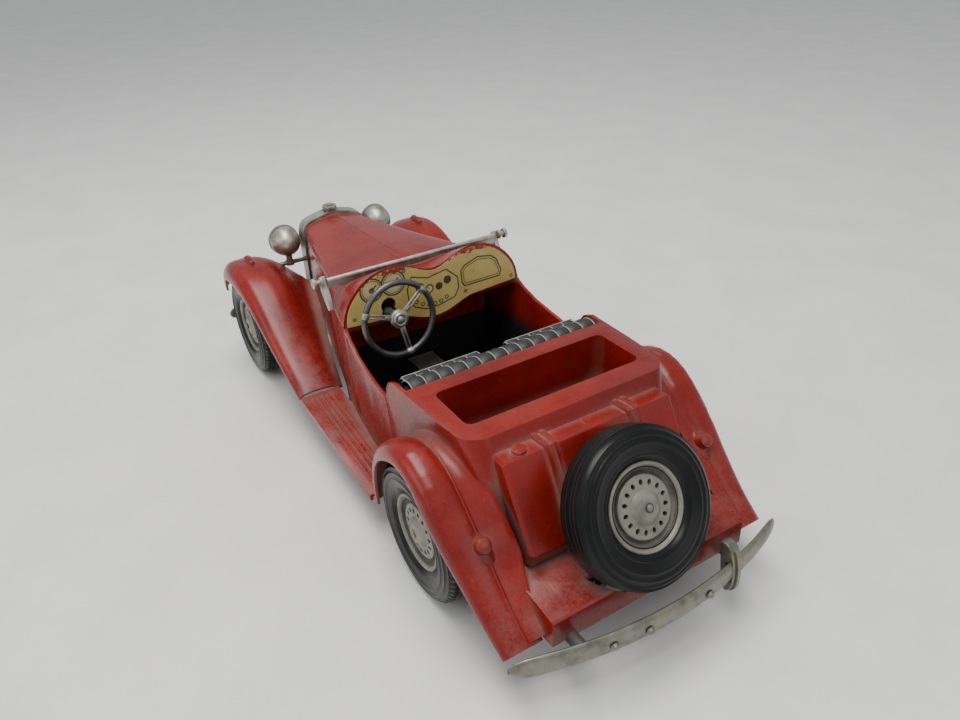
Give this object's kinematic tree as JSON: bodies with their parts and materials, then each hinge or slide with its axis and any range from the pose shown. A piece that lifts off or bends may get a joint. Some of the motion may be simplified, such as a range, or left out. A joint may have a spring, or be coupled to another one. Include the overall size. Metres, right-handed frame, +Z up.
{
  "type": "friction toy roadster",
  "caption": "Open two-seat toy roadster with separate wings, spare wheel, dash, working steering and a flywheel friction drive on the rear axle.",
  "frame": {"origin": "on the ground under the middle of the car's overall box", "axes": "+X the way the car faces, +Y its left side, +Z up"},
  "size_m": [0.4002, 0.159, 0.1199],
  "materials": {
    "red_enamel": "worn gloss enamel",
    "nickel": "tarnished plating",
    "bumper_metal": "dull cast metal",
    "dark_metal": "matt black paint",
    "zinc_steel": "dull zinc",
    "gunmetal": "gunmetal",
    "lens_glass": "moulded glass",
    "printed_dash": "printed tinplate",
    "black_vinyl": "black trim with grey piping",
    "floor_grey": "dusty dark paint",
    "tyre_rubber": "dusty rubber",
    "wheel_grey": "matt grey paint",
    "gear_brass": "as stamped"
  },
  "bodies": {
    "body": {"body_tub": "red_enamel", "bonnet": "red_enamel", "front_wing_left": "red_enamel", "front_wing_right": "red_enamel", "rear_wing_left": "red_enamel", "rear_wing_right": "red_enamel", "running_board_left": "red_enamel", "running_board_right": "red_enamel", "rear_apron": "red_enamel", "fuel_tank": "red_enamel", "tank_straps": "red_enamel", "tank_filler_cap": "red_enamel", "radiator_shell": "nickel", "radiator_grille": "dark_metal", "radiator_cap": "nickel", "headlamp_shells": "nickel", "headlamp_lenses": "lens_glass", "headlamp_bar": "nickel", "tail_lamps": "red_enamel", "side_lamps": "red_enamel", "rear_bumper": "bumper_metal", "rear_overrider": "bumper_metal", "rear_bumper_studs": "bumper_metal", "rear_bumper_brackets": "dark_metal", "front_bumper": "bumper_metal", "front_overriders": "bumper_metal", "front_bumper_brackets": "dark_metal", "windscreen_rail": "dark_metal", "windscreen_brackets": "red_enamel", "windscreen_thumbscrews": "nickel", "dash_plate": "printed_dash", "seat_back": "black_vinyl", "seat_cushions": "black_vinyl", "floor_pan": "floor_grey", "chassis_frame": "dark_metal", "chassis_screws": "nickel", "front_axle_beam": "dark_metal", "steering_bracket": "dark_metal", "motor_frame": "zinc_steel", "spare_carrier": "dark_metal", "spare_tyre": "tyre_rubber", "spare_wheel": "wheel_grey"},
    "steering_wheel_body": {"steering_wheel": "gunmetal", "steering_column": "dark_metal"},
    "steering_lever_body": {"steering_lever": "zinc_steel"},
    "track_rod_body": {"tie_rod": "zinc_steel"},
    "knuckle_left_body": {"knuckle_left": "dark_metal"},
    "knuckle_right_body": {"knuckle_right": "dark_metal"},
    "front_wheel_left_body": {"front_tyre_left": "tyre_rubber", "front_wheel_left": "wheel_grey"},
    "front_wheel_right_body": {"front_tyre_right": "tyre_rubber", "front_wheel_right": "wheel_grey"},
    "rear_axle_body": {"rear_axle": "zinc_steel", "rear_tyre_left": "tyre_rubber", "rear_wheel_left": "wheel_grey", "rear_tyre_right": "tyre_rubber", "rear_wheel_right": "wheel_grey", "axle_gear": "gear_brass"},
    "idler_body": {"idler_gear": "gear_brass"},
    "flywheel_body": {"flywheel": "zinc_steel"}
  },
  "joints": [
    {"name": "rear_axle_spin", "type": "hinge", "parent": "body", "child": "rear_axle_body", "pos_m": [-0.1037, 0, 0.035], "axis": [0, 1, 0], "continuous": true},
    {"name": "idler_spin", "type": "hinge", "parent": "body", "child": "idler_body", "pos_m": [-0.11473, 0, 0.04426], "axis": [0, 1, 0], "continuous": true},
    {"name": "flywheel_spin", "type": "hinge", "parent": "body", "child": "flywheel_body", "pos_m": [-0.12913, 0, 0.04426], "axis": [0, 1, 0], "continuous": true},
    {"name": "steering_turn", "type": "hinge", "parent": "body", "child": "steering_wheel_body", "pos_m": [-0.0127, 0.029, 0.095], "axis": [0.9925, 0, -0.1219], "range_deg": [-33, 33]},
    {"name": "lever_rock", "type": "hinge", "parent": "body", "child": "steering_lever_body", "pos_m": [0.0783, 0.029, 0.062], "axis": [1, 0, 0], "range_deg": [-8, 8]},
    {"name": "track_rod_slide", "type": "slide", "parent": "body", "child": "track_rod_body", "axis": [0, 1, 0], "range_m": [-0.00285, 0.00285]},
    {"name": "knuckle_left_steer", "type": "hinge", "parent": "body", "child": "knuckle_left_body", "pos_m": [0.1488, 0.048, 0.035], "axis": [0, 0, 1], "range_deg": [-14, 14]},
    {"name": "knuckle_right_steer", "type": "hinge", "parent": "body", "child": "knuckle_right_body", "pos_m": [0.1488, -0.048, 0.035], "axis": [0, 0, 1], "range_deg": [-14, 14]},
    {"name": "front_left_spin", "type": "hinge", "parent": "knuckle_left_body", "child": "front_wheel_left_body", "pos_m": [0.1488, 0.066, 0.035], "axis": [0, 1, 0], "continuous": true},
    {"name": "front_right_spin", "type": "hinge", "parent": "knuckle_right_body", "child": "front_wheel_right_body", "pos_m": [0.1488, -0.066, 0.035], "axis": [0, 1, 0], "continuous": true}
  ],
  "couplings": [
    {"joint": "idler_spin", "follows": "rear_axle_spin", "ratio": -3},
    {"joint": "flywheel_spin", "follows": "rear_axle_spin", "ratio": 9},
    {"joint": "steering_turn", "follows": "track_rod_slide", "rad_per_m": 183.02},
    {"joint": "lever_rock", "follows": "track_rod_slide", "rad_per_m": 39.526},
    {"joint": "knuckle_left_steer", "follows": "track_rod_slide", "rad_per_m": -71.429},
    {"joint": "knuckle_right_steer", "follows": "track_rod_slide", "rad_per_m": -71.429}
  ]
}
